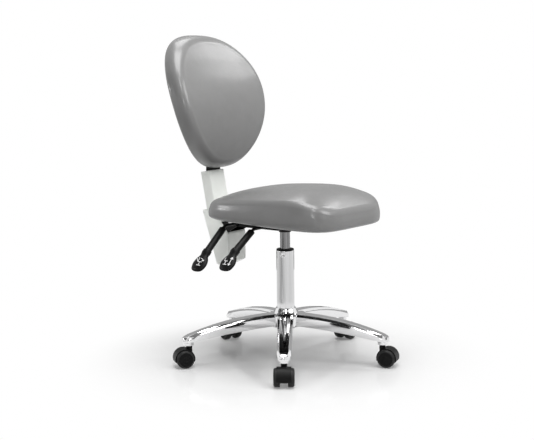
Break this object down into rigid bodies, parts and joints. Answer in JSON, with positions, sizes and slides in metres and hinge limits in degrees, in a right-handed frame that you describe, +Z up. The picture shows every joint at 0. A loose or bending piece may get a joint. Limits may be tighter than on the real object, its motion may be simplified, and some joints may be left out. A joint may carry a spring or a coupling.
{
  "type": "swivel chair",
  "caption": "Doctor's swivel chair with a padded seat and egg-shaped backrest, gas lift, release levers and a polished star base on twin-wheel casters.",
  "frame": {"origin": "on the floor, on the axis of the column", "axes": "+Z up, -Y towards the sitter's front, -X towards the sitter's right, where the levers are"},
  "size_m": [0.5991, 0.6497, 0.9099],
  "materials": {
    "polished": "polished casting",
    "chrome": "bright chrome plate",
    "steel": "plain steel",
    "black_steel": "black paint, low sheen",
    "black_plastic": "black moulding",
    "wheel_plastic": "black nylon",
    "white_plastic": "white moulding, satin",
    "seal_rubber": "black rubber",
    "leather": "smooth grey upholstery, soft sheen",
    "board": "plywood under black dust cloth"
  },
  "bodies": {
    "base": {"star_base": "polished", "column_tube": "chrome", "guide_bush": "black_plastic", "thrust_bearing": "steel", "caster_stem_1": "steel", "caster_stem_2": "steel", "caster_stem_3": "steel", "caster_stem_4": "steel", "caster_stem_5": "steel"},
    "spindle": {"piston_rod": "steel", "rod_clip": "steel"},
    "lift": {"gas_cylinder": "chrome", "rod_seal": "seal_rubber", "taper_socket": "black_steel", "mechanism_pan": "black_steel", "seat_board": "board", "seat_cushion": "leather", "seat_bolt_1": "steel", "seat_bolt_2": "steel", "seat_bolt_3": "steel", "seat_bolt_4": "steel", "height_lever_pin": "steel", "tilt_lever_pin": "steel", "tilt_shaft": "steel", "tilt_bush_left": "black_plastic", "tilt_bush_right": "black_plastic"},
    "valve": {"valve_pin": "steel"},
    "height_lever": {"height_lever_rod": "black_steel", "height_lever_grip": "black_plastic"},
    "tilt_lever": {"tilt_lever_rod": "black_steel", "tilt_lever_grip": "black_plastic"},
    "back": {"back_bar": "black_steel", "lower_cover": "white_plastic"},
    "backrest": {"upper_cover": "white_plastic", "height_ratchet": "black_plastic", "back_plate": "black_steel", "back_board": "leather", "back_cushion": "leather", "back_screw_1": "steel", "back_screw_2": "steel"},
    "caster_1": {"caster_hood_1": "black_plastic", "caster_axle_1": "steel"},
    "wheel_left_1": {"wheel_left_1": "wheel_plastic"},
    "wheel_right_1": {"wheel_right_1": "wheel_plastic"},
    "caster_2": {"caster_hood_2": "black_plastic", "caster_axle_2": "steel"},
    "wheel_left_2": {"wheel_left_2": "wheel_plastic"},
    "wheel_right_2": {"wheel_right_2": "wheel_plastic"},
    "caster_3": {"caster_hood_3": "black_plastic", "caster_axle_3": "steel"},
    "wheel_left_3": {"wheel_left_3": "wheel_plastic"},
    "wheel_right_3": {"wheel_right_3": "wheel_plastic"},
    "caster_4": {"caster_hood_4": "black_plastic", "caster_axle_4": "steel"},
    "wheel_left_4": {"wheel_left_4": "wheel_plastic"},
    "wheel_right_4": {"wheel_right_4": "wheel_plastic"},
    "caster_5": {"caster_hood_5": "black_plastic", "caster_axle_5": "steel"},
    "wheel_left_5": {"wheel_left_5": "wheel_plastic"},
    "wheel_right_5": {"wheel_right_5": "wheel_plastic"}
  },
  "joints": [
    {"name": "column_swivel", "type": "hinge", "parent": "base", "child": "spindle", "pos_m": [0, 0, 0.1], "axis": [0, 0, 1], "continuous": true},
    {"name": "seat_lift", "type": "slide", "parent": "spindle", "child": "lift", "axis": [0, 0, 1], "range_m": [-0.035, 0.085]},
    {"name": "back_tilt", "type": "hinge", "parent": "lift", "child": "back", "pos_m": [0, 0.136, 0.39], "axis": [-1, 0, 0], "range_deg": [-3, 15]},
    {"name": "back_height", "type": "slide", "parent": "back", "child": "backrest", "axis": [0, 0.1908, 0.9816], "range_m": [-0.005, 0.038]},
    {"name": "height_lever_pull", "type": "hinge", "parent": "lift", "child": "height_lever", "pos_m": [-0.045, 0.008, 0.385], "axis": [0, 1, 0], "range_deg": [0, 5], "stiffness_Nm_per_rad": 4, "springref_deg": -4.58},
    {"name": "valve_press", "type": "slide", "parent": "lift", "child": "valve", "axis": [0, 0, -1], "range_m": [0, 0.0045]},
    {"name": "tilt_lever_pull", "type": "hinge", "parent": "lift", "child": "tilt_lever", "pos_m": [-0.056, 0.115, 0.385], "axis": [0, 1, 0], "range_deg": [0, 5]},
    {"name": "caster_swivel_1", "type": "hinge", "parent": "base", "child": "caster_1", "pos_m": [-0.2245, -0.16734, 0.06], "axis": [0, 0, 1], "continuous": true},
    {"name": "wheel_left_roll_1", "type": "hinge", "parent": "caster_1", "child": "wheel_left_1", "pos_m": [-0.23692, -0.1766, 0.025], "axis": [0.5976, -0.8018, 0], "continuous": true},
    {"name": "wheel_right_roll_1", "type": "hinge", "parent": "caster_1", "child": "wheel_right_1", "pos_m": [-0.23692, -0.1766, 0.025], "axis": [0.5976, -0.8018, 0], "continuous": true},
    {"name": "caster_swivel_2", "type": "hinge", "parent": "base", "child": "caster_2", "pos_m": [0.08977, -0.26522, 0.06], "axis": [0, 0, 1], "continuous": true},
    {"name": "wheel_left_roll_2", "type": "hinge", "parent": "caster_2", "child": "wheel_left_2", "pos_m": [0.09474, -0.2799, 0.025], "axis": [0.9472, 0.3206, 0], "continuous": true},
    {"name": "wheel_right_roll_2", "type": "hinge", "parent": "caster_2", "child": "wheel_right_2", "pos_m": [0.09474, -0.2799, 0.025], "axis": [0.9472, 0.3206, 0], "continuous": true},
    {"name": "caster_swivel_3", "type": "hinge", "parent": "base", "child": "caster_3", "pos_m": [0.27998, 0.00342, 0.06], "axis": [0, 0, 1], "continuous": true},
    {"name": "wheel_left_roll_3", "type": "hinge", "parent": "caster_3", "child": "wheel_left_3", "pos_m": [0.29548, 0.00361, 0.025], "axis": [-0.0122, 0.9999, 0], "continuous": true},
    {"name": "wheel_right_roll_3", "type": "hinge", "parent": "caster_3", "child": "wheel_right_3", "pos_m": [0.29548, 0.00361, 0.025], "axis": [-0.0122, 0.9999, 0], "continuous": true},
    {"name": "caster_swivel_4", "type": "hinge", "parent": "base", "child": "caster_4", "pos_m": [0.08327, 0.26733, 0.06], "axis": [0, 0, 1], "continuous": true},
    {"name": "wheel_left_roll_4", "type": "hinge", "parent": "caster_4", "child": "wheel_left_4", "pos_m": [0.08787, 0.28213, 0.025], "axis": [-0.9548, 0.2974, 0], "continuous": true},
    {"name": "wheel_right_roll_4", "type": "hinge", "parent": "caster_4", "child": "wheel_right_4", "pos_m": [0.08787, 0.28213, 0.025], "axis": [-0.9548, 0.2974, 0], "continuous": true},
    {"name": "caster_swivel_5", "type": "hinge", "parent": "base", "child": "caster_5", "pos_m": [-0.22852, 0.1618, 0.06], "axis": [0, 0, 1], "continuous": true},
    {"name": "wheel_left_roll_5", "type": "hinge", "parent": "caster_5", "child": "wheel_left_5", "pos_m": [-0.24117, 0.17076, 0.025], "axis": [-0.5779, -0.8161, 0], "continuous": true},
    {"name": "wheel_right_roll_5", "type": "hinge", "parent": "caster_5", "child": "wheel_right_5", "pos_m": [-0.24117, 0.17076, 0.025], "axis": [-0.5779, -0.8161, 0], "continuous": true}
  ],
  "couplings": [
    {"joint": "valve_press", "follows": "height_lever_pull", "m_per_rad": 0.045}
  ]
}
